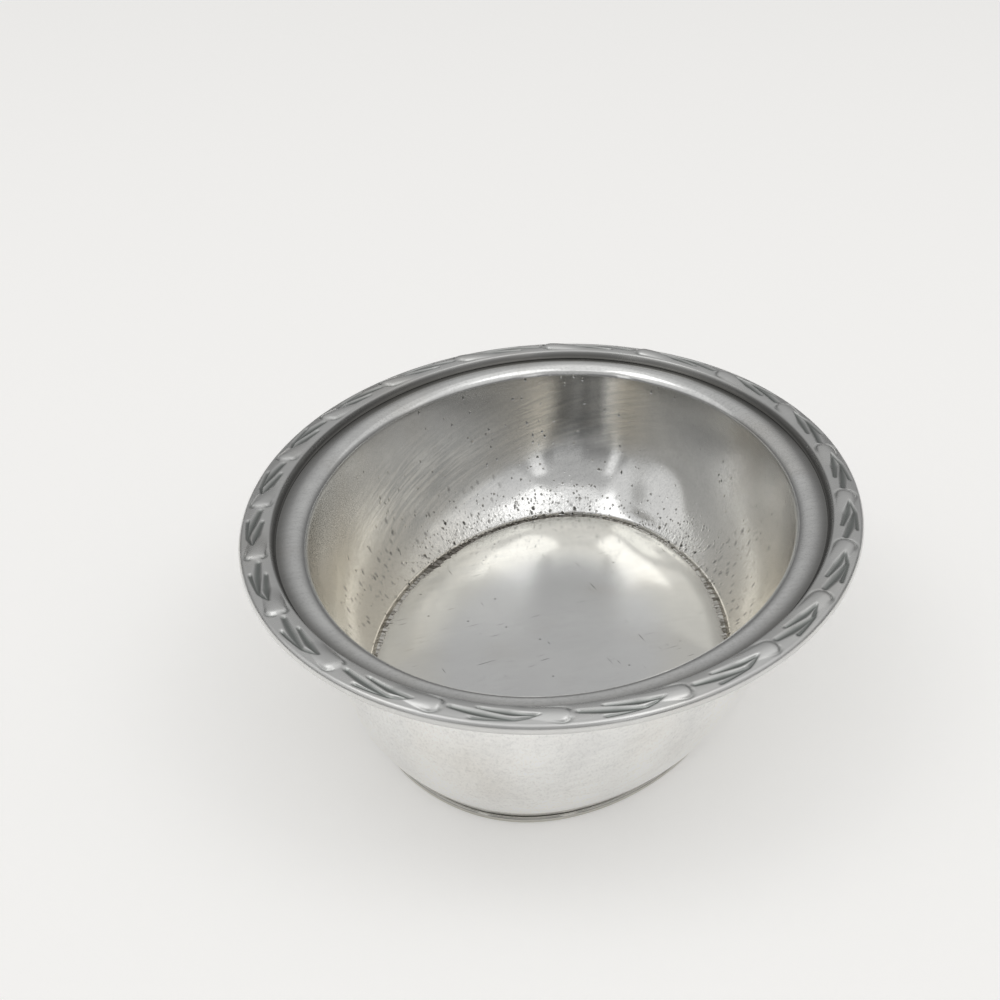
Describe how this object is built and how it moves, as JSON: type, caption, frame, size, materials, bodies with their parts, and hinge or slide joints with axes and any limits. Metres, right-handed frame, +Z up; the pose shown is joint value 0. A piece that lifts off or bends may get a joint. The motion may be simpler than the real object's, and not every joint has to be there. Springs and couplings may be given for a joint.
{
  "type": "oval serving dish",
  "caption": "Deep oval serving dish of silver-plated sheet, with a soldered-in floor and a turned-out rim carrying a struck border of overlapping leaves.",
  "frame": {"origin": "on the resting plane, under the middle of the oval", "axes": "+Z up, +Y along the oval's long axis, +X across it"},
  "size_m": [0.18, 0.2598, 0.0519],
  "materials": {
    "wall_plate": "worn silver plate, satin, pitted towards the floor",
    "floor_finish": "worn silver plate, scuffed by use",
    "seam_solder": "dark tarnished solder, rough",
    "border_plate": "struck silver plate, bright on the leaf tips, dark in the recesses",
    "filling_solder": "dull grey solder"
  },
  "bodies": {
    "root": {"side_wall": "wall_plate", "floor_plate": "floor_finish", "floor_seam": "seam_solder", "leaf_border": "border_plate", "border_filling": "filling_solder"}
  },
  "joints": []
}
